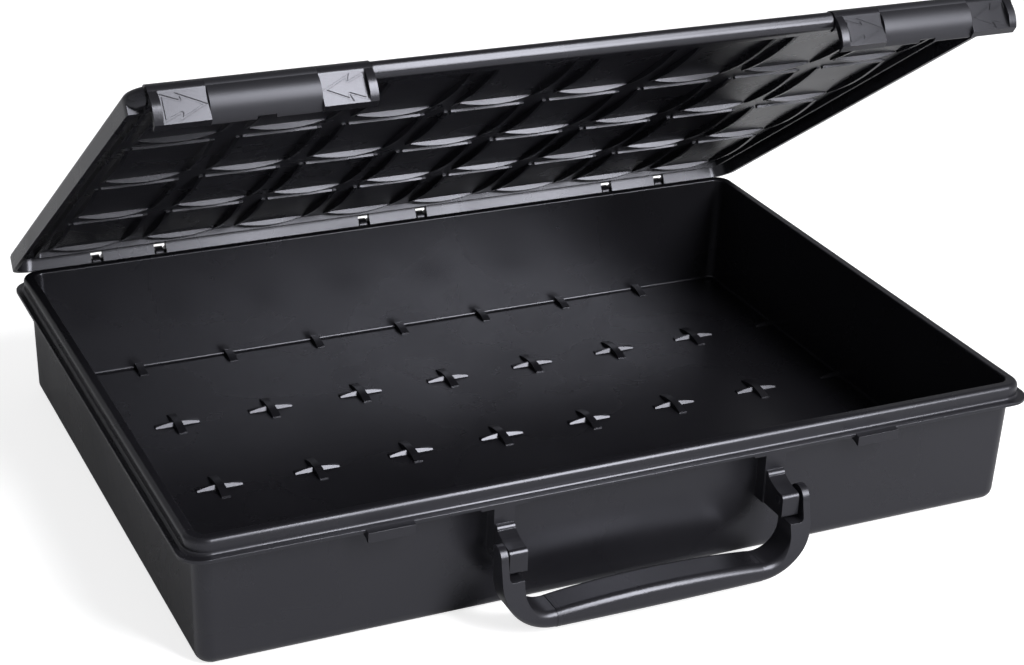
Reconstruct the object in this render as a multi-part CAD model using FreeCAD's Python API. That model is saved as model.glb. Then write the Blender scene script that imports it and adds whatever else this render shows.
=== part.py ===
import FreeCAD, Part
import math
import os

# Carry case for small-part inserts: a tray, a hinged lid, two latches and a bail handle.
# Frame: origin at the centre of the tray's underside, +X right, +Y to the hinges, +Z up.
# Lid, latches and handle are drawn shut or hanging, then swung to the angles below.

# Grid of inserts that the tray is made for
cell_pitch_x = 39.5
cell_pitch_y = 55.4
cell_count_x = 8
cell_count_y = 4
cell_margin_x = 2.5
cell_margin_y = 1.2

# Tray walls and floor
wall = 2.0
floor = 2.3
wall_lean = 0.9
corner_radius = 4.0
foot_radius = 4.5
floor_fillet = 1.2

# Tray rim: a bead with a flange below it
rim_top = 51.4
rim_width = 4.5
rim_rise = 5.8
rim_corner_radius = 7.5
rim_edge_radius = 2.0
rim_inner_radius = 0.8
rim_foot_radius = 1.2
flange_reach = 2.9
flange_thickness = 1.4
flange_corner_radius = 9.0
flange_edge_radius = 0.25

# Crosses on the floor that keep the inserts in place
cross_x_length = 18.3
cross_x_thickness = 0.8
cross_x_height = 1.5
cross_x_end_height = 0.6
cross_x_lean_share = 0.75
cross_y_length = 17.5
cross_y_thickness = 3.2
cross_y_height = 1.9
cross_y_end_height = 0.45
cross_y_lean_share = 0.1

# Lid
lid_gap = 1.85
lid_reach = 3.5
lid_height = 7.75
lid_panel = 2.2
lid_wall = 1.8
lid_wall_root = 0.8
lid_edge_radius = 2.4
lid_bead_clearance = 0.6
lid_open_angle = 34.7

# Rounded front lip of the lid and the bars that carry the latches
lip_radius = 3.2
lip_edge_radius = 3.0
bar_radius = 2.0
bar_root = 1.2
bar_clearance = 0.07
clip_wall = 1.73
clip_clearance = 0.6

# Ribs under the lid: four arched ribs per cell and a ring that drops inside the tray
lid_rib_thickness = 1.4
lid_rib_inset_x = 4.6
lid_rib_inset_y = 4.8
lid_rib_gap_x = 1.4
lid_rib_gap_y = 0.6
lid_rib_depth = 2.1
lid_rib_end_depth = 0.5
lid_rib_front_depth = 1.0
lid_rib_front_end_depth = 0.9
lid_rib_lean_share = 0.18
lid_rib_side_lean_share = 0.03
ring_thickness = 1.2
ring_root = 0.4
ring_depth = 2.2
ring_clearance = 0.8

# Hinges: pins on the lid held by ears on the tray
hinge_pitch = 118.5
ear_offset = 13.5
ear_width = 3.2
ear_radius = 2.9
ear_root = 1.5
ear_foot = 1.4
slot_side_clearance = 1.0
slot_top_clearance = 0.5
pin_radius = 1.4
pin_clearance = 0.05
knuckle_radius = 2.6
knuckle_end = 4.0
hinge_behind = 2.2
hinge_rise = 3.0

# Latches
latch_end_inset = 6.0
latch_length = 74.7
latch_side_clearance = 0.4
latch_hook = 1.2
latch_ledge = 1.4
latch_hook_gap = 0.4
latch_hook_drop = 0.3
latch_bow = 5.1
latch_bow_drop = 4.8
latch_foot = 1.1
latch_foot_drop = 11.6
latch_foot_width = 1.0
latch_shell = 1.8
latch_notch_length = 6.5
latch_notch_depth = 0.8
throat_start_angle = 285.0
throat_end_angle = 375.0
pad_length = 18.7
pad_reach = 4.4
pad_edge = 1.1
latch_cheek = 3.0
latch_cheek_bow = 5.5
latch_cheek_bow_drop = 3.8
arrow_length = 14.9
arrow_width = 9.6
arrow_head = 10.0
arrow_waist = 4.6
arrow_waist_place = 8.9
arrow_groove = 0.7
arrow_depth = 0.35

# Catches below the flange, one for each latch
catch_inset = 8.4
catch_width = 17.2
catch_reach = 2.1
catch_drop = 0.4
catch_face = 3.7
catch_lip = 0.9
catch_hollow = 1.1

# Lugs that hold the handle's pins
lug_x = 53.8
lug_block_width = 8.0
lug_plate_width = 17.8
lug_plate_thickness = 0.6
lug_width = 6.8
lug_below_pin = 6.1
lug_nose = 3.2
lug_nose_rise = 2.9
lug_neck_rise = 7.1
lug_shoulder = 1.9
lug_shoulder_drop = 1.6
lug_sag = 0.6
lug_nose_radius = 2.0
lug_edge_radius = 0.8

# Handle, which hangs in front of the tray just clear of the table
handle_pivot_reach = 9.3
handle_pivot_z = 30.5
handle_pin_radius = 1.6
handle_pin_clearance = 0.07
handle_pin_overhang = 0.3
handle_leg = 2.7
handle_leg_top = 4.5
handle_leg_front = 4.5
handle_leg_clearance = 0.4
handle_arm = 8.2
handle_notch = 7.6
handle_notch_radius = 1.7
handle_reach = 28.0
handle_depth = 6.9
handle_bend_radius = 20.0
handle_inner_radius = 10.0
handle_front = 9.6
handle_rear = 4.5
handle_flare = 22.0
handle_round = 2.8
handle_round_limit_share = 0.45
handle_table_gap = 0.3

# Grip moulded round the handle's lower bar, thickest at its middle
grip_length = 82.0
grip_proud = 0.2
grip_rise = 2.0
grip_bulge = 0.4
grip_round = 3.2

# How far a cutting tool runs past a surface, how far a rib sinks into one, and equal heights
overrun = 2.0
sink = 0.3
tolerance = 0.001

# Sizes that follow from those above
inner_x = cell_count_x * cell_pitch_x / 2 + cell_margin_x
inner_y = cell_count_y * cell_pitch_y / 2 + cell_margin_y
rim_x = inner_x + rim_width
rim_y = inner_y + rim_width
flange_x = rim_x + flange_reach
flange_y = rim_y + flange_reach
lid_x = rim_x + lid_reach
lid_y = rim_y + lid_reach
flange_top = rim_top - rim_rise
flange_bottom = flange_top - flange_thickness
skirt_bottom = flange_top + lid_gap
lid_top = skirt_bottom + lid_height
lid_under = lid_top - lid_panel
lip_y = -(rim_y + lid_bead_clearance + lip_radius)
lip_z = lid_top - lip_radius
lip_front = lip_y - lip_radius
lip_inner = lip_y + lip_radius
lip_bottom = lip_z - lip_radius
clip_radius = bar_radius + bar_clearance + clip_wall
hinge_y = lid_y + hinge_behind
hinge_z = flange_top + hinge_rise
latch_outer_x = lid_x - latch_end_inset
latch_inner_x = latch_outer_x - latch_length
catch_x = latch_inner_x + catch_inset
wall_front = -(inner_y + wall)
wall_root = wall_front + wall / 2
flange_middle = flange_bottom + flange_thickness / 2
catch_front = -(flange_y + catch_reach)
catch_low = flange_top - catch_drop - catch_face
hook_top = catch_low - latch_hook_drop
latch_low = hook_top - latch_hook
hook_tip = catch_front - latch_hook_gap
latch_inside = hook_tip - latch_ledge
latch_foot_z = lip_z - latch_foot_drop
pivot_y = -(flange_y + handle_pivot_reach)
pin_bore = handle_pin_radius + handle_pin_clearance
leg_inner = lug_x + lug_block_width / 2 + handle_leg_clearance
handle_half = leg_inner + handle_leg
arm_inner = handle_half - handle_arm

x_axis = FreeCAD.Vector(1, 0, 0)
z_axis = FreeCAD.Vector(0, 0, 1)
origin = FreeCAD.Vector(0, 0, 0)
quarter_share = 1 - math.sqrt(0.5)


def vec(x, y, z):
    return FreeCAD.Vector(x, y, z)


def block(x0, x1, y0, y1, z0, z1):
    """Box between two corners."""
    return Part.makeBox(x1 - x0, y1 - y0, z1 - z0, vec(x0, y0, z0))


def rod(radius, x0, x1, y, z):
    """Round bar along X."""
    return Part.makeCylinder(radius, x1 - x0, vec(x0, y, z), x_axis)


def wire(steps):
    """Closed wire through points; a pair of points in the list is an arc's middle and end."""
    edges = []
    here = steps[0]
    for step in steps[1:] + steps[:1]:
        if isinstance(step, tuple):
            middle, end = step
            edges.append(Part.Arc(here, middle, end).toShape())
        else:
            end = step
            if here.distanceToPoint(end) > tolerance:
                edges.append(Part.LineSegment(here, end).toShape())
        here = end
    return Part.Wire(edges)


def side_prism(steps, x0, x1):
    """Profile drawn in the YZ plane at x0 and carried along X to x1."""
    points = []
    for step in steps:
        if isinstance(step[0], tuple):
            points.append(tuple(vec(x0, *point) for point in step))
        else:
            points.append(vec(x0, *step))
    return Part.Face(wire(points)).extrude(vec(x1 - x0, 0, 0))


def plan_wire(half_x, front, rear, radius, z):
    """Rectangle with round corners in plan."""
    turn = radius * quarter_share
    left, right = -half_x, half_x
    return wire([
        vec(left + radius, front, z),
        vec(right - radius, front, z),
        (vec(right - turn, front + turn, z), vec(right, front + radius, z)),
        vec(right, rear - radius, z),
        (vec(right - turn, rear - turn, z), vec(right - radius, rear, z)),
        vec(left + radius, rear, z),
        (vec(left + turn, rear - turn, z), vec(left, rear - radius, z)),
        vec(left, front + radius, z),
        (vec(left + turn, front + turn, z), vec(left + radius, front, z)),
    ])


def plan_prism(half_x, half_y, radius, z0, z1):
    """Upright block with round corners, centred in plan."""
    return Part.Face(plan_wire(half_x, -half_y, half_y, radius, z0)).extrude(vec(0, 0, z1 - z0))


def plan_taper(half_x, half_y, radius, z0, z1):
    """Upright block with round corners whose foot is drawn in by the walls' lean."""
    foot = plan_wire(half_x - wall_lean, -half_y + wall_lean, half_y - wall_lean, radius, z0)
    head = plan_wire(half_x, -half_y, half_y, radius, z1)
    return Part.makeLoft([foot, head], True, True)


def edges_at(shape, z):
    """Edges that lie wholly at one height."""
    edges = []
    for edge in shape.Edges:
        box = edge.BoundBox
        if abs(box.ZMin - z) < tolerance and abs(box.ZMax - z) < tolerance:
            edges.append(edge)
    return edges


def turned(shape, y, z, angle):
    """Copy swung about an axis along X; a positive angle lifts what lies in front of the axis."""
    swung = shape.copy()
    swung.rotate(vec(0, y, z), x_axis, -angle)
    return swung


def both_sides(shape):
    """A shape and its mirror image on the other half of the case."""
    return [shape, shape.mirror(origin, x_axis)]


def grid_lines(count, pitch):
    """Places of the lines between neighbouring cells."""
    return [(i - count / 2) * pitch for i in range(1, count)]


def cell_centres(count, pitch):
    """Middles of the cells along one direction."""
    return [(i - (count - 1) / 2) * pitch for i in range(count)]


def arched_rib(length, thickness, height, end_height, lean_share):
    """Rib along X on the plane z = 0: an arched top, and sides that lean in by a share of the height."""
    half = length / 2
    top = thickness / 2
    root = top + (height + sink) * lean_share
    outline = wire([
        vec(-half, -root, -sink),
        vec(half, -root, -sink),
        vec(half, -root, end_height),
        (vec(0, -root, height), vec(-half, -root, end_height)),
    ])
    arch = Part.Face(outline).extrude(vec(0, 2 * root, 0))
    wedge = side_prism([(-root, -sink), (root, -sink), (top, height), (-top, height)], -half, half)
    return arch.common(wedge)


def tray_shell():
    """Open box with leaning walls, a bead around its rim and a flange below the bead."""
    outer = plan_taper(inner_x + wall, inner_y + wall, corner_radius + wall, 0, flange_middle)
    outer = outer.makeFillet(foot_radius, edges_at(outer, 0))
    flange = plan_prism(flange_x, flange_y, flange_corner_radius, flange_bottom, flange_top)
    flange_edges = edges_at(flange, flange_top) + edges_at(flange, flange_bottom)
    flange = flange.makeFillet(flange_edge_radius, flange_edges)
    bead = plan_prism(rim_x, rim_y, rim_corner_radius, flange_middle, rim_top)
    bead = bead.makeFillet(rim_edge_radius, edges_at(bead, rim_top))
    body = outer.fuse([flange, bead]).removeSplitter()
    foot = [edge for edge in edges_at(body, flange_top) if edge.BoundBox.XMax < rim_x + tolerance
            and edge.BoundBox.XMin > -rim_x - tolerance and edge.BoundBox.YMax < rim_y + tolerance]
    foot = [edge for edge in foot if edge.BoundBox.YMin > -rim_y - tolerance]
    body = body.makeFillet(rim_foot_radius, foot)
    hollow = plan_taper(inner_x, inner_y, corner_radius, floor, rim_top)
    hollow = hollow.makeFillet(floor_fillet, edges_at(hollow, floor))
    body = body.cut(hollow)
    mouth = [edge for edge in edges_at(body, rim_top) if edge.BoundBox.XMax < inner_x + tolerance
             and edge.BoundBox.YMax < inner_y + tolerance and edge.BoundBox.YMin > -inner_y - tolerance]
    mouth = [edge for edge in mouth if edge.BoundBox.XMin > -inner_x - tolerance]
    return body.makeFillet(rim_inner_radius, mouth)


def floor_crosses():
    """Crosses where cells meet, and half crosses where the grid lines meet the walls."""
    rib_x = arched_rib(cross_x_length, cross_x_thickness, cross_x_height, cross_x_end_height,
                       cross_x_lean_share)
    rib_y = arched_rib(cross_y_length, cross_y_thickness, cross_y_height, cross_y_end_height,
                       cross_y_lean_share)
    rib_y.rotate(origin, z_axis, 90)
    lines_x = grid_lines(cell_count_x, cell_pitch_x)
    lines_y = grid_lines(cell_count_y, cell_pitch_y)
    foot_x = inner_x - wall_lean
    foot_y = inner_y - wall_lean
    ribs = []
    for x in lines_x:
        for y in lines_y:
            ribs.append(rib_x.translated(vec(x, y, floor)))
            ribs.append(rib_y.translated(vec(x, y, floor)))
        for y in (-foot_y, foot_y):
            ribs.append(rib_y.translated(vec(x, y, floor)))
    for y in lines_y:
        for x in (-foot_x, foot_x):
            ribs.append(rib_x.translated(vec(x, y, floor)))
    room = plan_prism(inner_x, inner_y, corner_radius, 0, rim_top)
    return [rib.common(room) for rib in ribs]


def catch():
    """Ledge level with the front flange whose lip hangs down, hollow on its underside."""
    half = catch_width / 2
    lip = catch_front + catch_lip
    return side_prism([
        (wall_root, flange_middle),
        (-flange_y + flange_edge_radius, flange_middle),
        (-flange_y + flange_edge_radius, flange_top),
        (catch_front, flange_top - catch_drop),
        (catch_front, catch_low),
        (lip, catch_low),
        (((lip + wall_root) / 2, catch_low + catch_hollow), (wall_root, catch_low)),
    ], catch_x - half, catch_x + half)


def lug():
    """Block below the front flange with a nose that is bored for one of the handle's pins."""
    low = handle_pivot_z - lug_below_pin
    half = lug_block_width / 2
    stem = block(lug_x - half, lug_x + half, -flange_y, wall_root, low, flange_middle)
    half = lug_plate_width / 2
    plate = block(lug_x - half, lug_x + half, -flange_y, wall_root,
                  flange_bottom - lug_plate_thickness, flange_middle)
    nose_y = pivot_y - lug_nose
    nose_z = handle_pivot_z + lug_nose_rise
    neck_z = handle_pivot_z + lug_neck_rise
    foot_turn = lug_edge_radius * quarter_share
    nose_turn = lug_nose_radius * quarter_share
    half = lug_width / 2
    top_y = nose_y + lug_nose_radius
    shoulder_y = -flange_y - lug_shoulder
    shoulder_z = neck_z - lug_shoulder_drop
    nose = side_prism([
        (wall_root, low),
        (nose_y + lug_edge_radius, low),
        ((nose_y + foot_turn, low + foot_turn), (nose_y, low + lug_edge_radius)),
        (nose_y, nose_z - lug_nose_radius),
        ((nose_y + nose_turn, nose_z - nose_turn), (top_y, nose_z)),
        (((top_y + shoulder_y) / 2, (nose_z + shoulder_z) / 2 - lug_sag), (shoulder_y, shoulder_z)),
        ((shoulder_y + lug_shoulder * quarter_share, neck_z - lug_shoulder_drop * quarter_share),
         (-flange_y, neck_z)),
        (wall_root, neck_z),
    ], lug_x - half, lug_x + half)
    half = lug_block_width / 2 + overrun
    bore = rod(pin_bore, lug_x - half, lug_x + half, pivot_y, handle_pivot_z)
    return stem.fuse([plate, nose]).cut(bore)


def hinge_ears():
    """Rings on the rear flange, two for each hinge, that the lid's pins turn in."""
    ears = []
    for hinge_x in (-hinge_pitch, 0, hinge_pitch):
        for side in (-1, 1):
            x0 = hinge_x + side * ear_offset - ear_width / 2
            x1 = x0 + ear_width
            ring = rod(ear_radius, x0, x1, hinge_y, hinge_z)
            foot = block(x0, x1, flange_y - ear_root, hinge_y + ear_foot, flange_bottom, hinge_z)
            bore = rod(pin_radius + pin_clearance, x0 - overrun, x1 + overrun, hinge_y, hinge_z)
            ears.append(ring.fuse(foot).cut(bore))
    return ears


def base_tray():
    """The whole tray moulding."""
    features = floor_crosses() + hinge_ears() + both_sides(catch()) + both_sides(lug())
    return tray_shell().fuse(features).removeSplitter()


def lid_shell():
    """Shallow cover: panel, skirt and a thick rounded lip along the front."""
    body = Part.Face(plan_wire(lid_x, lip_front, lid_y, flange_corner_radius, skirt_bottom))
    body = body.extrude(vec(0, 0, lid_height))
    below_lip = block(-lid_x - overrun, lid_x + overrun, lip_front - overrun, lip_inner,
                      skirt_bottom - overrun, lip_bottom)
    body = body.cut(below_lip)
    body = body.makeFillet(lid_edge_radius, edges_at(body, lid_top))
    lip_edge = [edge for edge in edges_at(body, lip_bottom) if edge.BoundBox.YMax < lip_front + tolerance]
    body = body.makeFillet(lip_edge_radius, lip_edge)
    radius = flange_corner_radius - lid_wall
    root = lid_wall + lid_wall_root
    mouth = plan_wire(lid_x - lid_wall, lip_inner, lid_y - lid_wall, radius, skirt_bottom - tolerance)
    ceiling = plan_wire(lid_x - root, lip_inner, lid_y - root, radius, lid_under)
    return body.cut(Part.makeLoft([mouth, ceiling], True, True))


def lid_ribs():
    """Four arched ribs below the panel for every cell, set in from the cell's edges."""
    length_x = cell_pitch_x - 2 * (lid_rib_inset_x + lid_rib_gap_x)
    length_y = cell_pitch_y - 2 * (lid_rib_inset_y + lid_rib_gap_y)
    front_rib = arched_rib(length_x, lid_rib_thickness, lid_rib_front_depth, lid_rib_front_end_depth,
                           lid_rib_lean_share)
    rear_rib = arched_rib(length_x, lid_rib_thickness, lid_rib_depth, lid_rib_end_depth,
                          lid_rib_lean_share)
    side_rib = arched_rib(length_y, lid_rib_thickness, lid_rib_depth, lid_rib_end_depth,
                          lid_rib_side_lean_share)
    for rib in (front_rib, rear_rib, side_rib):
        rib.rotate(origin, x_axis, 180)
    side_rib.rotate(origin, z_axis, 90)
    out_x = cell_pitch_x / 2 - lid_rib_inset_x
    out_y = cell_pitch_y / 2 - lid_rib_inset_y
    ribs = []
    for x in cell_centres(cell_count_x, cell_pitch_x):
        for y in cell_centres(cell_count_y, cell_pitch_y):
            ribs.append(front_rib.translated(vec(x, y - out_y, lid_under)))
            ribs.append(rear_rib.translated(vec(x, y + out_y, lid_under)))
            for side in (-1, 1):
                ribs.append(side_rib.translated(vec(x + side * out_x, y, lid_under)))
    return ribs


def lid_ring():
    """Low ring below the panel that drops just inside the tray's walls."""
    half_x = inner_x - ring_clearance
    half_y = inner_y - ring_clearance
    radius = corner_radius - ring_clearance
    low = lid_under - ring_depth
    ring = plan_prism(half_x, half_y, radius, low, lid_under + sink)
    root = ring_thickness + ring_root
    mouth_y = half_y - ring_thickness
    ceiling_y = half_y - root
    radius = radius - ring_thickness
    mouth = plan_wire(half_x - ring_thickness, -mouth_y, mouth_y, radius, low - tolerance)
    ceiling = plan_wire(half_x - root, -ceiling_y, ceiling_y, radius, lid_under + overrun)
    return ring.cut(Part.makeLoft([mouth, ceiling], True, True))


def lid_hinges():
    """Knuckles and pins behind the rear skirt, and the slots that clear the tray's ears."""
    solids = []
    slots = []
    slot_half = ear_width / 2 + slot_side_clearance
    slot_top = hinge_z + ear_radius + slot_top_clearance
    inner_end = ear_offset - slot_half
    outer_start = ear_offset + slot_half
    outer_end = outer_start + knuckle_end
    for hinge_x in (-hinge_pitch, 0, hinge_pitch):
        for start, end in ((-outer_end, -outer_start), (-inner_end, inner_end), (outer_start, outer_end)):
            x0 = hinge_x + start
            x1 = hinge_x + end
            solids.append(rod(knuckle_radius, x0, x1, hinge_y, hinge_z))
            solids.append(block(x0, x1, lid_y - lid_wall / 2, hinge_y,
                                skirt_bottom, hinge_z + knuckle_radius))
        solids.append(rod(pin_radius, hinge_x - outer_end, hinge_x + outer_end, hinge_y, hinge_z))
        for side in (-1, 1):
            middle = hinge_x + side * ear_offset
            slots.append(block(middle - slot_half, middle + slot_half, lid_y - lid_wall - overrun,
                               lid_y + overrun, skirt_bottom - overrun, slot_top))
    return solids, slots


def latch_seat():
    """Gap in the lid's lip for one latch, and the bar that the latch turns on."""
    x0 = latch_inner_x - latch_side_clearance
    x1 = latch_outer_x + latch_side_clearance
    gap = block(x0, x1, lip_front - overrun, lip_y + clip_radius + clip_clearance,
                skirt_bottom - overrun, lid_top + overrun)
    bar = rod(bar_radius, x0 - bar_root, x1 + bar_root, lip_y, lip_z)
    return gap, bar


def lid_shut():
    """The whole lid moulding, lying on the tray."""
    solids, slots = lid_hinges()
    gap, bar = latch_seat()
    body = lid_shell().cut(slots + both_sides(gap))
    features = solids + both_sides(bar) + [lid_ring()] + lid_ribs()
    return body.fuse(features).removeSplitter()


def latch_profile(outer_side, inner_side):
    """Section of a latch: over its clip, down the outer side, then back up inside."""
    clip_middle = bar_radius + clip_wall / 2
    return [
        (lip_y, lip_z + clip_radius),
        *outer_side,
        *inner_side,
        (lip_y - clip_middle, lip_z),
        (lip_y, lip_z + clip_middle),
    ]


def bowed_profile():
    """Section between the pads: an arc from the clip's top to a narrow foot, with an even wall."""
    foot_y = lip_y - latch_foot
    root = (lip_y - bar_radius - clip_wall / 2, lip_z - bar_radius)
    outer = [((lip_y - latch_bow, lip_z - latch_bow_drop), (foot_y, latch_foot_z))]
    inner = [(foot_y + latch_foot_width, latch_foot_z),
             ((lip_y - latch_bow + latch_shell, lip_z - latch_bow_drop), root)]
    return latch_profile(outer, inner)


def pad_profile():
    """Section at a pad: over the clip, straight down to an edge, then back to a hook for the catch."""
    turn = clip_radius * quarter_share
    top_y = lip_y - clip_radius
    outer = [
        ((top_y + turn, lip_z + clip_radius - turn), (top_y, lip_z)),
        (lip_y - pad_reach, latch_low + pad_edge),
        (hook_tip, latch_low),
    ]
    return latch_profile(outer, [(hook_tip, hook_top), (latch_inside, hook_top)])


def cheek_profile():
    """Section at a latch's ends: bowed down to the pads' edge, with the pads' hook."""
    outer = [
        ((lip_y - latch_cheek_bow, lip_z - latch_cheek_bow_drop),
         (lip_y - pad_reach, latch_low + pad_edge)),
        (hook_tip, latch_low),
    ]
    return latch_profile(outer, [(hook_tip, hook_top), (latch_inside, hook_top)])


def arrow_cutter():
    """Groove that outlines an arrow along +X with a flared tail, drawn on the plane z = 0."""
    tip = arrow_length / 2
    tail = tip - arrow_length
    head = tip - arrow_head
    waist = tip - arrow_waist_place
    wing = arrow_width / 2
    side = arrow_waist / 2
    outline = wire([vec(tip, 0, 0), vec(head, wing, 0), vec(waist, side, 0), vec(tail, wing, 0),
                    vec(tail, -wing, 0), vec(waist, -side, 0), vec(head, -wing, 0)])
    face = Part.Face(outline)
    groove = face.cut(face.makeOffset2D(-arrow_groove))
    return groove.extrude(vec(0, 0, arrow_depth + overrun))


def pad_arrows():
    """Arrow grooves on both pads of the right-hand latch, pointing at its middle."""
    top = vec(0, lip_y - clip_radius, lip_z)
    edge = vec(0, lip_y - pad_reach, latch_low + pad_edge)
    middle_y = (top.y + edge.y) / 2
    middle_z = (top.z + edge.z) / 2
    lean = math.degrees(math.atan2(top.z - edge.z, top.y - edge.y))
    inset = latch_cheek + (pad_length - latch_cheek) / 2
    arrows = []
    for x, turn in ((latch_inner_x + inset, 0), (latch_outer_x - inset, 180)):
        arrow = arrow_cutter()
        arrow.rotate(origin, z_axis, turn)
        arrow.translate(vec(0, 0, -arrow_depth))
        arrow.rotate(origin, x_axis, lean)
        arrow.translate(vec(x, middle_y, middle_z))
        arrows.append(arrow)
    return arrows


def latch_hanging():
    """The right-hand latch, hanging from its bar with its hook just clear of the catch."""
    x0 = latch_inner_x
    x1 = latch_outer_x
    clip = rod(clip_radius, x0, x1, lip_y, lip_z)
    walls = [side_prism(bowed_profile(), x0 + pad_length, x1 - pad_length)]
    for start, end in ((x0 + latch_cheek, x0 + pad_length), (x1 - pad_length, x1 - latch_cheek)):
        walls.append(side_prism(pad_profile(), start, end))
    for start, end in ((x0, x0 + latch_cheek), (x1 - latch_cheek, x1)):
        walls.append(side_prism(cheek_profile(), start, end))
    middle = (x0 + x1) / 2
    half = latch_notch_length / 2
    notch = block(middle - half, middle + half, lip_y - latch_bow, lip_y + overrun,
                  latch_foot_z - overrun, latch_foot_z + latch_notch_depth)
    bore = rod(bar_radius + bar_clearance, x0 - overrun, x1 + overrun, lip_y, lip_z)
    reach = clip_radius + overrun
    corners = [(lip_y, lip_z)]
    for angle in (throat_start_angle, (throat_start_angle + throat_end_angle) / 2, throat_end_angle):
        turn = math.radians(angle)
        corners.append((lip_y + reach * math.cos(turn), lip_z + reach * math.sin(turn)))
    throat = side_prism(corners, x0 - overrun, x1 + overrun)
    return clip.fuse(walls).cut([bore, throat, notch] + pad_arrows()).removeSplitter()


def handle_bail():
    """The handle's bow hanging down, its pins' line on the X axis: two arms, two bends and a bar."""
    low = -handle_reach + grip_proud
    high = low + handle_depth
    outer = handle_bend_radius
    inner = handle_inner_radius
    outer_turn = outer * quarter_share
    inner_turn = inner * quarter_share
    outline = wire([
        vec(0, 0, low),
        vec(handle_half - outer, 0, low),
        (vec(handle_half - outer_turn, 0, low + outer_turn), vec(handle_half, 0, low + outer)),
        vec(handle_half, 0, handle_leg_top),
        vec(arm_inner, 0, handle_leg_top),
        vec(arm_inner, 0, high + inner),
        (vec(arm_inner - inner_turn, 0, high + inner_turn), vec(arm_inner - inner, 0, high)),
        vec(0, 0, high),
    ])
    thickness = handle_front + handle_rear
    half = Part.Face(outline).extrude(vec(0, thickness, 0)).translated(vec(0, -handle_front, 0))
    bail = half.fuse(half.mirror(origin, x_axis)).removeSplitter()
    rims = []
    for edge in bail.Edges:
        box = edge.BoundBox
        if box.YLength < tolerance and box.ZMin < handle_leg_top - tolerance:
            rims.append(edge)
    turns = inner_turn - outer_turn
    bend = math.hypot(handle_arm + turns, handle_depth + turns)
    limit = handle_round_limit_share * min(handle_arm, thickness, handle_depth, bend)
    bail = bail.makeFillet(min(handle_round, limit), rims)
    flared_side = side_prism([
        (-handle_front, low - overrun), (handle_rear, low - overrun), (handle_rear, 0),
        ((0, handle_leg_top), (-handle_leg_front, 0)), (-handle_front, -handle_flare),
    ], -handle_half, handle_half)
    return bail.common(flared_side)


def grip_section(x, rise, bulge):
    """Rounded rectangle across the grip at x; its lower side is at the handle's full reach."""
    low = -handle_reach
    high = low + handle_depth + 2 * grip_proud + rise
    front = -(handle_front + grip_proud + bulge)
    rear = handle_rear + grip_proud + bulge
    turn = grip_round * quarter_share
    return wire([
        vec(x, front + grip_round, low),
        vec(x, rear - grip_round, low),
        (vec(x, rear - turn, low + turn), vec(x, rear, low + grip_round)),
        vec(x, rear, high - grip_round),
        (vec(x, rear - turn, high - turn), vec(x, rear - grip_round, high)),
        vec(x, front + grip_round, high),
        (vec(x, front + turn, high - turn), vec(x, front, high - grip_round)),
        vec(x, front, low + grip_round),
        (vec(x, front + turn, low + turn), vec(x, front + grip_round, low)),
    ])


def handle_grip():
    """Swelling grip between the bends."""
    half = grip_length / 2
    ends = [grip_section(-half, 0, 0), grip_section(0, grip_rise, grip_bulge), grip_section(half, 0, 0)]
    return Part.makeLoft(ends, True, False)


def leg_notch():
    """Gap in an arm that leaves a thin outer leg beside the tray's lug, with one round corner."""
    gap = block(arm_inner - overrun, leg_inner, -handle_front - overrun, handle_rear + overrun,
                -handle_notch, handle_leg_top + overrun)
    corner = [edge for edge in edges_at(gap, -handle_notch) if edge.BoundBox.XMin > leg_inner - tolerance]
    return gap.makeFillet(handle_notch_radius, corner)


def handle_hanging():
    """The whole handle hanging straight down from its pins."""
    pin_end = lug_x - lug_width / 2 - handle_pin_overhang
    pin = rod(handle_pin_radius, pin_end, leg_inner + handle_leg / 2, 0, 0)
    bail = handle_bail().cut(both_sides(leg_notch()))
    return bail.fuse([handle_grip()] + both_sides(pin)).removeSplitter()


def handle_rest_angle():
    """Angle of the handle: it hangs straight down, or a long one leans outwards on the table."""
    depth = handle_reach - grip_round
    side = handle_rear + grip_proud + grip_bulge - grip_round
    drop = handle_pivot_z - grip_round - handle_table_gap
    if drop >= depth:
        return 0
    slack = min(1, drop / math.hypot(depth, side))
    return math.degrees(math.acos(slack) + math.atan2(side, depth))


os.makedirs("parts", exist_ok=True)
latch = latch_hanging()
handle = handle_hanging().translated(vec(0, pivot_y, handle_pivot_z))
nodes = {
    "base_tray": base_tray(),
    "lid": turned(lid_shut(), hinge_y, hinge_z, lid_open_angle),
    "latch_right": turned(latch, hinge_y, hinge_z, lid_open_angle),
    "latch_left": turned(latch.mirror(origin, x_axis), hinge_y, hinge_z, lid_open_angle),
    "handle": turned(handle, pivot_y, handle_pivot_z, handle_rest_angle()),
}
for name, shape in nodes.items():
    shape.exportStep("parts/" + name + ".step")
    print(name, shape.isValid(), len(shape.Solids), round(shape.Volume), shape.BoundBox)
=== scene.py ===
# %% [markdown]
# # A black carry case for small parts
#
# The case is five plastic mouldings: a tray, a lid, two latches and a handle. The construction model
# already has their shapes at real size, so this lesson dresses them: camera, light, floor, and a satin
# black plastic that behaves like the moulded one. Everything is in metres, in the frame of the
# construction model: +X runs along the hinge line, +Y points from the handle to the hinges, and the tray
# stands on z = 0.

# %% Load the frame
import math

import bpy
import numpy as np
from mathutils import Matrix, Vector

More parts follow.
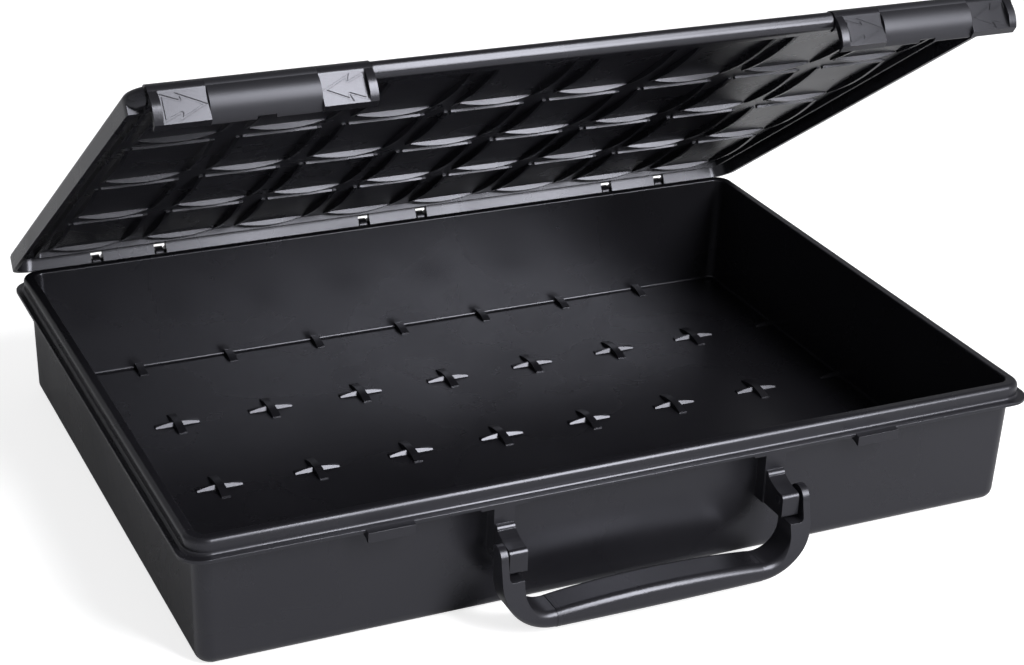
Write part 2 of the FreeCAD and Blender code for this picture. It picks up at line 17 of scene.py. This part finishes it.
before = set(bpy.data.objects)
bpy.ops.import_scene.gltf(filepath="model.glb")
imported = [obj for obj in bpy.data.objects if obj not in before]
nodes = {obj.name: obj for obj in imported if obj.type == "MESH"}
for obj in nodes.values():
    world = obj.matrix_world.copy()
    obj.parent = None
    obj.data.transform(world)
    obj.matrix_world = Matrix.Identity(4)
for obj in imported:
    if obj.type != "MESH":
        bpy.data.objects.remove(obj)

scene = bpy.context.scene
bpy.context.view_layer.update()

# %% [markdown]
# ## The camera
#
# A picture is matched by finding where its camera stood. The floor grid, the rim and the lid are straight
# and of known size, so their corners give the place, the direction and the focal length together. Heading
# is counted from +Y towards +X, and roll turns the camera about its own line of sight.

# %% Camera
IMAGE_WIDTH = 1024
SENSOR_WIDTH = 36.0
CLIP_NEAR = 0.05
CLIP_FAR = 50
FOCAL_PIXELS = 2212.96
CAMERA_PLACE = Vector((-0.33822, -0.71552, 0.41996))
CAMERA_HEADING = math.radians(25.507)
CAMERA_DIP = math.radians(25.148)
CAMERA_ROLL = math.radians(2.204)


def camera_turn(heading, dip, roll):
    """Rotation whose -Z axis looks along the heading, tipped down by the dip, then rolled about that line."""
    level = math.cos(dip)
    look = Vector((math.sin(heading) * level, math.cos(heading) * level, -math.sin(dip)))
    right = look.cross(Vector((0, 0, 1))).normalized()
    up = right.cross(look)
    rolled_right = right * math.cos(roll) + up * math.sin(roll)
    rolled_up = up * math.cos(roll) - right * math.sin(roll)
    return Matrix((rolled_right, rolled_up, -look)).transposed()


camera_data = bpy.data.cameras.new("photo_camera")
camera_data.sensor_fit = "HORIZONTAL"
camera_data.sensor_width = SENSOR_WIDTH
camera_data.lens = FOCAL_PIXELS / IMAGE_WIDTH * SENSOR_WIDTH
camera_data.clip_start = CLIP_NEAR
camera_data.clip_end = CLIP_FAR
camera = bpy.data.objects.new("photo_camera", camera_data)
camera.matrix_world = camera_turn(CAMERA_HEADING, CAMERA_DIP, CAMERA_ROLL).to_4x4()
camera.location = CAMERA_PLACE
scene.collection.objects.link(camera)
scene.camera = camera
print("lens, mm:", round(camera_data.lens, 2))

# %% [markdown]
# ## Looking after colour
#
# The plain Standard view shows a colour as it is written, so a dark plastic stays as dark as its number
# says.

# %% View
scene.view_settings.view_transform = "Standard"
print("view transform:", scene.view_settings.view_transform)

# %% [markdown]
# ## Small helpers for node trees
#
# Materials are networks of nodes. Two helpers keep them readable: one adds a node with its settings and
# with the values or links of its sockets, and one makes an empty material to put nodes into.

# %% Node helpers


def add_node(tree, kind, inputs=None, **settings):
    """New node of a kind; settings are its properties, inputs its socket values or the sockets to link."""
    node = tree.nodes.new(kind)
    for name, value in settings.items():
        setattr(node, name, value)
    for name, value in (inputs or {}).items():
        if isinstance(value, bpy.types.NodeSocket):
            tree.links.new(value, node.inputs[name])
        else:
            node.inputs[name].default_value = value
    return node


def new_material(name):
    """Empty node material and its tree."""
    material = bpy.data.materials.new(name)
    material.use_nodes = True
    material.node_tree.nodes.clear()
    return material, material.node_tree


# %% [markdown]
# ## Floor and backdrop
#
# The case stands on pale paper that runs up into a backdrop with no horizon. The paper takes the shadow
# of the case as a matt surface does. Extra brightness lifts the open paper to white for the camera,
# without throwing more light on the case. The plastic's gloss gets little of it, so that the walls mirror
# the paper as it is really lit.

# %% Paper sweep
SWEEP_WIDTH = 8.0
SWEEP_FRONT = -4.0
SWEEP_BACK = 3.0
SWEEP_HEIGHT = 4.0
SWEEP_RADIUS = 1.2
SWEEP_STEPS = 24
PAPER_COLOR = (0.62, 0.62, 0.63, 1)
PAPER_GLOW = 0.76
PAPER_GLOSS_GLOW = 0.02
WHITE = (1, 1, 1, 1)


def sweep_profile(steps):
    """Points (y, z) of the paper: flat floor, quarter circle, then a straight rise."""
    angle = np.linspace(0, math.pi / 2, steps)
    bend_y = SWEEP_BACK - SWEEP_RADIUS + SWEEP_RADIUS * np.sin(angle)
    bend_z = SWEEP_RADIUS - SWEEP_RADIUS * np.cos(angle)
    y = np.concatenate(([SWEEP_FRONT], bend_y, [SWEEP_BACK]))
    z = np.concatenate(([0.0], bend_z, [SWEEP_HEIGHT]))
    return np.stack((y, z), axis=1)


def strip_mesh(name, profile, x_values):
    """Sheet made by carrying a profile of (y, z) points along x; rows of the grid are the x values."""
    rows, columns = len(x_values), len(profile)
    points = np.empty((rows, columns, 3))
    points[..., 0] = np.asarray(x_values)[:, None]
    points[..., 1:] = profile[None]
    corner = (np.arange(rows - 1)[:, None] * columns + np.arange(columns - 1)[None]).ravel()
    faces = np.stack((corner, corner + columns, corner + columns + 1, corner + 1), axis=1)
    mesh = bpy.data.meshes.new(name)
    mesh.from_pydata(points.reshape(-1, 3).tolist(), [], faces.tolist())
    mesh.polygons.foreach_set("use_smooth", [True] * len(mesh.polygons))
    return mesh


def seen_ray(tree, path):
    """1 for the rays of the camera, straight or through something clear, and 0 for all others."""
    either = add_node(tree, "ShaderNodeMath", {
        0: path.outputs["Is Camera Ray"], 1: path.outputs["Is Transmission Ray"]}, operation="MAXIMUM")
    return either.outputs[0]


def paper_material():
    """Matt paper, with a glow that camera and transmission rays see in full and glossy rays a little."""
    material, tree = new_material("white_paper")
    path = add_node(tree, "ShaderNodeLightPath")
    through = seen_ray(tree, path)
    gloss_glow = add_node(tree, "ShaderNodeMath", {0: path.outputs["Is Glossy Ray"], 1: PAPER_GLOSS_GLOW},
                          operation="MULTIPLY")
    all_glow = add_node(tree, "ShaderNodeMath", {0: through, 1: PAPER_GLOW, 2: gloss_glow.outputs[0]},
                        operation="MULTIPLY_ADD")
    glow = add_node(tree, "ShaderNodeEmission", {"Color": WHITE, "Strength": all_glow.outputs[0]})
    matt = add_node(tree, "ShaderNodeBsdfDiffuse", {"Color": PAPER_COLOR})
    both = add_node(tree, "ShaderNodeAddShader", {0: matt.outputs[0], 1: glow.outputs[0]})
    add_node(tree, "ShaderNodeOutputMaterial", {"Surface": both.outputs[0]})
    return material


sweep_sheet = strip_mesh("paper_sweep", sweep_profile(SWEEP_STEPS), [-SWEEP_WIDTH, SWEEP_WIDTH])
sweep = bpy.data.objects.new("paper_sweep", sweep_sheet)
sweep.data.materials.append(paper_material())
scene.collection.objects.link(sweep)
print("paper faces:", len(sweep.data.polygons))

# %% [markdown]
# ## Light
#
# Black plastic shows mostly what it mirrors, so product pictures of it are lit by soft boxes placed where
# their mirror images are wanted. One tall box stands in front on the right. It reaches as high as the
# thumb pads mirror and as low as the rib faces under the lid do, and it draws the bright lines along the
# rim and the grip. Above the white paper the room is dim, which keeps the upward faces black, and the
# matt surfaces get only a weak fill from it.

# %% Soft box and room
KEY_RADIANCE = 17.0
BOX_AZIMUTH = 28
BOX_ELEVATION = 36
BOX_DISTANCE = 1.8
BOX_SIZE = (0.60, 1.34)
CASE_MIDDLE = Vector((0.0, -0.02, 0.08))
ROOM_FILL = 0.28
ROOM_LOW = 0.50
ROOM_HIGH = 0.12
ROOM_LOW_UP = 0.05
ROOM_HIGH_UP = 0.75


def soft_box(name, azimuth, elevation, distance, size):
    """Rectangular lamp seen from the case at an azimuth (from -Y towards +X) and elevation, facing the case.

    A flat lamp of area A that shines evenly with radiance L gives out pi times A times L.
    """
    turn, rise = math.radians(azimuth), math.radians(elevation)
    away = Vector((math.sin(turn) * math.cos(rise), -math.cos(turn) * math.cos(rise), math.sin(rise)))
    data = bpy.data.lights.new(name, "AREA")
    data.shape = "RECTANGLE"
    data.size, data.size_y = size
    data.energy = math.pi * size[0] * size[1] * KEY_RADIANCE
    lamp = bpy.data.objects.new(name, data)
    lamp.location = CASE_MIDDLE + away * distance
    lamp.rotation_euler = (-away).to_track_quat("-Z", "Y").to_euler()
    scene.collection.objects.link(lamp)


soft_box("front_box", BOX_AZIMUTH, BOX_ELEVATION, BOX_DISTANCE, BOX_SIZE)


def room_world():
    """White where the camera looks, dim and darker overhead for glossy rays, and a weak fill for the rest."""
    world = bpy.data.worlds.new("room")
    world.use_nodes = True
    tree = world.node_tree
    tree.nodes.clear()
    path = add_node(tree, "ShaderNodeLightPath")
    place = add_node(tree, "ShaderNodeTexCoord")
    height = add_node(tree, "ShaderNodeSeparateXYZ", {0: place.outputs["Generated"]})
    dim = add_node(tree, "ShaderNodeMapRange", {
        "Value": height.outputs["Z"], "From Min": ROOM_LOW_UP, "From Max": ROOM_HIGH_UP,
        "To Min": ROOM_LOW, "To Max": ROOM_HIGH})
    gloss = add_node(tree, "ShaderNodeMix", {
        0: path.outputs["Is Glossy Ray"], 2: ROOM_FILL, 3: dim.outputs[0]}, data_type="FLOAT")
    strength = add_node(tree, "ShaderNodeMix", {
        0: seen_ray(tree, path), 2: gloss.outputs[0], 3: 1.0}, data_type="FLOAT")
    sky = add_node(tree, "ShaderNodeBackground", {"Color": WHITE, "Strength": strength.outputs[0]})
    add_node(tree, "ShaderNodeOutputWorld", {"Surface": sky.outputs[0]})
    return world


scene.world = room_world()

# %% [markdown]
# ## Effects that the plastics share
#
# All five mouldings come from steel tools, so they share three effects. Spark-eroded steel leaves a grain
# of about 0.4 mm, and the melt leaves slow patches where it cooled at different rates. Handling leaves
# smears that are a little duller. Corners are rubbed smooth, and no moulded corner is quite sharp. Each
# effect is a node group that puts out masks, and each plastic mixes them with its own values. The corner
# mask compares the true normal with a soft one, which is averaged over a small radius: they part only
# near corners.

# %% Shared node groups
PIT_FINENESS_SHARE = 0.5
PIT_SHARE = 0.35
PATCHES_PER_METRE = 24.0
SMEAR_STRETCH = (60.0, 190.0, 190.0)
SMEAR_TURN = (0.3, 0.5, 0.4)
TOUCHED_PER_METRE = 16.0
CORNER_BREAKS_PER_METRE = 420.0


def new_group(name, inputs, outputs):
    """Empty node group with float or vector sockets; gives the tree, its input node and its output node."""
    tree = bpy.data.node_groups.new(name, "ShaderNodeTree")
    for socket, kind in inputs.items():
        tree.interface.new_socket(name=socket, in_out="INPUT", socket_type=kind)
    for socket in outputs:
        tree.interface.new_socket(name=socket, in_out="OUTPUT", socket_type="NodeSocketFloat")
    return tree, tree.nodes.new("NodeGroupInput"), tree.nodes.new("NodeGroupOutput")


def mould_grain_group():
    """Grain: fine noise with sparser pits of twice its size. Patch: slow noise, tens of millimetres wide."""
    tree, given, result = new_group(
        "mould_grain", {"Vector": "NodeSocketVector", "Fineness": "NodeSocketFloat"}, ["Grain", "Patch"])
    fine = add_node(tree, "ShaderNodeTexNoise", {
        "Vector": given.outputs["Vector"], "Scale": given.outputs["Fineness"],
        "Detail": 3.0, "Roughness": 0.6})
    coarse = add_node(tree, "ShaderNodeMath", {0: given.outputs["Fineness"], 1: PIT_FINENESS_SHARE},
                      operation="MULTIPLY")
    pits = add_node(tree, "ShaderNodeTexVoronoi", {
        "Vector": given.outputs["Vector"], "Scale": coarse.outputs[0]})
    both = add_node(tree, "ShaderNodeMix", {0: PIT_SHARE, 2: fine.outputs[0], 3: pits.outputs["Distance"]},
                    data_type="FLOAT")
    slow = add_node(tree, "ShaderNodeTexNoise", {
        "Vector": given.outputs["Vector"], "Scale": PATCHES_PER_METRE, "Detail": 4.0, "Roughness": 0.55,
        "Distortion": 0.6})
    tree.links.new(both.outputs[0], result.inputs["Grain"])
    tree.links.new(slow.outputs[0], result.inputs["Patch"])
    return tree


def hand_smear_group():
    """Smear: stretched noise a few millimetres wide, kept only inside broad touched areas."""
    tree, given, result = new_group("hand_smear", {"Vector": "NodeSocketVector"}, ["Smear"])
    stretch = add_node(tree, "ShaderNodeMapping", {
        "Vector": given.outputs["Vector"], "Scale": SMEAR_STRETCH, "Rotation": SMEAR_TURN})
    streak = add_node(tree, "ShaderNodeTexNoise", {"Vector": stretch.outputs[0], "Scale": 1.0, "Detail": 5.0})
    area = add_node(tree, "ShaderNodeTexNoise", {
        "Vector": given.outputs["Vector"], "Scale": TOUCHED_PER_METRE, "Detail": 1.0})
    touched = add_node(tree, "ShaderNodeMapRange", {
        "Value": area.outputs[0], "From Min": 0.48, "From Max": 0.66})
    smear = add_node(tree, "ShaderNodeMath", {0: streak.outputs[0], 1: touched.outputs[0]},
                     operation="MULTIPLY")
    tree.links.new(smear.outputs[0], result.inputs["Smear"])
    return tree


def rubbed_corner_group():
    """Corner: how far a soft normal turns from the true one, broken up by noise."""
    tree, given, result = new_group(
        "rubbed_corner", {"Vector": "NodeSocketVector", "Soft Normal": "NodeSocketVector"}, ["Corner"])
    true = add_node(tree, "ShaderNodeNewGeometry")
    same = add_node(tree, "ShaderNodeVectorMath", {
        0: given.outputs["Soft Normal"], 1: true.outputs["Normal"]}, operation="DOT_PRODUCT")
    turned = add_node(tree, "ShaderNodeMapRange", {
        "Value": same.outputs["Value"], "From Min": 0.99, "From Max": 0.80})
    breaks = add_node(tree, "ShaderNodeTexNoise", {
        "Vector": given.outputs["Vector"], "Scale": CORNER_BREAKS_PER_METRE, "Detail": 3.0})
    uneven = add_node(tree, "ShaderNodeMapRange", {
        "Value": breaks.outputs[0], "From Min": 0.3, "From Max": 0.7, "To Min": 0.45, "To Max": 1.0})
    corner = add_node(tree, "ShaderNodeMath", {0: turned.outputs[0], 1: uneven.outputs[0]},
                      operation="MULTIPLY")
    tree.links.new(corner.outputs[0], result.inputs["Corner"])
    return tree


mould_grain = mould_grain_group()
hand_smear = hand_smear_group()
rubbed_corner = rubbed_corner_group()
print("node groups:", [(g.name, len(g.nodes)) for g in (mould_grain, hand_smear, rubbed_corner)])

# %% [markdown]
# ## The three plastics
#
# Tray and lid are satin, the handle is a little smoother where hands hold it, and the latches have
# polished thumb pads on either side of a matt middle. All three are one network: two near blacks mixed by
# the patches, a gloss that patches and smears change, and corners that are smoother and paler. A span
# along the case moves the gloss from one finish to another, for the middle of a latch and for the grip.

# %% Plastic network
CORNER_RADIUS = 0.00020
CORNER_SAMPLES = 4
PLASTIC_IOR = 1.58
PLASTIC_TINT = (0.88, 0.89, 1.0, 1)
GRAIN_PER_METRE = 2500.0
GRAIN_HEIGHT = 0.00004
RUBBED_COLOR = (0.030, 0.030, 0.034, 1)
RUBBED_SHARE = 0.5
PATCH_ROUGHNESS = 0.02
SMEAR_ROUGHNESS = 0.09
CORNER_ROUGHNESS = -0.07


def fill_group(tree, group, inputs):
    """Puts a shared node group into a tree with the values or links of its inputs."""
    return add_node(tree, "ShaderNodeGroup", inputs, node_tree=group)


def span_mask(tree, place, low, high, soft):
    """1 where the distance from the middle plane x = 0 lies between two values, with soft ends."""
    split = add_node(tree, "ShaderNodeSeparateXYZ", {0: place})
    side = add_node(tree, "ShaderNodeMath", {0: split.outputs["X"]}, operation="ABSOLUTE")
    above = add_node(tree, "ShaderNodeMapRange", {
        "Value": side.outputs[0], "From Min": low - soft, "From Max": low + soft})
    below = add_node(tree, "ShaderNodeMapRange", {
        "Value": side.outputs[0], "From Min": high + soft, "From Max": high - soft})
    inside = add_node(tree, "ShaderNodeMath", {0: above.outputs[0], 1: below.outputs[0]},
                      operation="MULTIPLY")
    return inside.outputs[0]


def black_plastic(name, tones, rough, bump, span=None, span_rough=None):
    """Satin black plastic; inside a span of x, if one is given, it has a roughness of its own."""
    material, tree = new_material(name)
    place = add_node(tree, "ShaderNodeTexCoord").outputs["Object"]
    grain = fill_group(tree, mould_grain, {"Vector": place, "Fineness": GRAIN_PER_METRE})
    smear = fill_group(tree, hand_smear, {"Vector": place})
    bevel = add_node(tree, "ShaderNodeBevel", {"Radius": CORNER_RADIUS}, samples=CORNER_SAMPLES)
    soft_normal = bevel.outputs[0]
    corner = fill_group(tree, rubbed_corner, {"Vector": place, "Soft Normal": soft_normal})
    tone = add_node(tree, "ShaderNodeMix", {
        0: grain.outputs["Patch"], 6: tones[0], 7: tones[1]}, data_type="RGBA")
    rubbed = add_node(tree, "ShaderNodeMath", {0: corner.outputs["Corner"], 1: RUBBED_SHARE},
                      operation="MULTIPLY")
    color = add_node(tree, "ShaderNodeMix", {
        0: rubbed.outputs[0], 6: tone.outputs[2], 7: RUBBED_COLOR}, data_type="RGBA")
    level = add_node(tree, "ShaderNodeMapRange", {
        "Value": grain.outputs["Patch"], "From Min": 0.3, "From Max": 0.7,
        "To Min": rough - PATCH_ROUGHNESS, "To Max": rough + PATCH_ROUGHNESS})
    if span:
        level = add_node(tree, "ShaderNodeMix", {
            0: span_mask(tree, place, *span), 2: level.outputs[0], 3: span_rough}, data_type="FLOAT")
    dull = add_node(tree, "ShaderNodeMath", {
        0: smear.outputs["Smear"], 1: SMEAR_ROUGHNESS, 2: level.outputs[0]}, operation="MULTIPLY_ADD")
    gloss = add_node(tree, "ShaderNodeMath", {
        0: corner.outputs["Corner"], 1: CORNER_ROUGHNESS, 2: dull.outputs[0]}, operation="MULTIPLY_ADD")
    relief = add_node(tree, "ShaderNodeBump", {
        "Height": grain.outputs["Grain"], "Strength": bump, "Distance": GRAIN_HEIGHT, "Normal": soft_normal})
    shader = add_node(tree, "ShaderNodeBsdfPrincipled", {
        "Base Color": color.outputs[2], "Roughness": gloss.outputs[0], "IOR": PLASTIC_IOR,
        "Specular Tint": PLASTIC_TINT, "Normal": relief.outputs[0]})
    add_node(tree, "ShaderNodeOutputMaterial", {"Surface": shader.outputs[0]})
    return material


# %% Plastic finishes
CASE_TONES = ((0.0092, 0.0090, 0.0112, 1), (0.0125, 0.0122, 0.0150, 1))
LATCH_TONES = ((0.0098, 0.0096, 0.0118, 1), (0.0132, 0.0129, 0.0157, 1))
LATCH_MIDDLE = (0.1065, 0.1438, 0.0001)
GRIP_SPAN = (-0.01, 0.041, 0.002)
FINISHES = {
    "case_plastic": black_plastic("case_plastic", CASE_TONES, rough=0.27, bump=0.10),
    "latch_plastic": black_plastic(
        "latch_plastic", LATCH_TONES, rough=0.24, bump=0.05, span=LATCH_MIDDLE, span_rough=0.40),
    "handle_plastic": black_plastic(
        "handle_plastic", CASE_TONES, rough=0.32, bump=0.08, span=GRIP_SPAN, span_rough=0.27),
}
NODE_FINISH = {
    "base_tray": "case_plastic", "lid": "case_plastic", "latch_left": "latch_plastic",
    "latch_right": "latch_plastic", "handle": "handle_plastic",
}
for name, finish in NODE_FINISH.items():
    nodes[name].data.materials.clear()
    nodes[name].data.materials.append(FINISHES[finish])
print("finishes:", {name: len(m.node_tree.nodes) for name, m in FINISHES.items()})
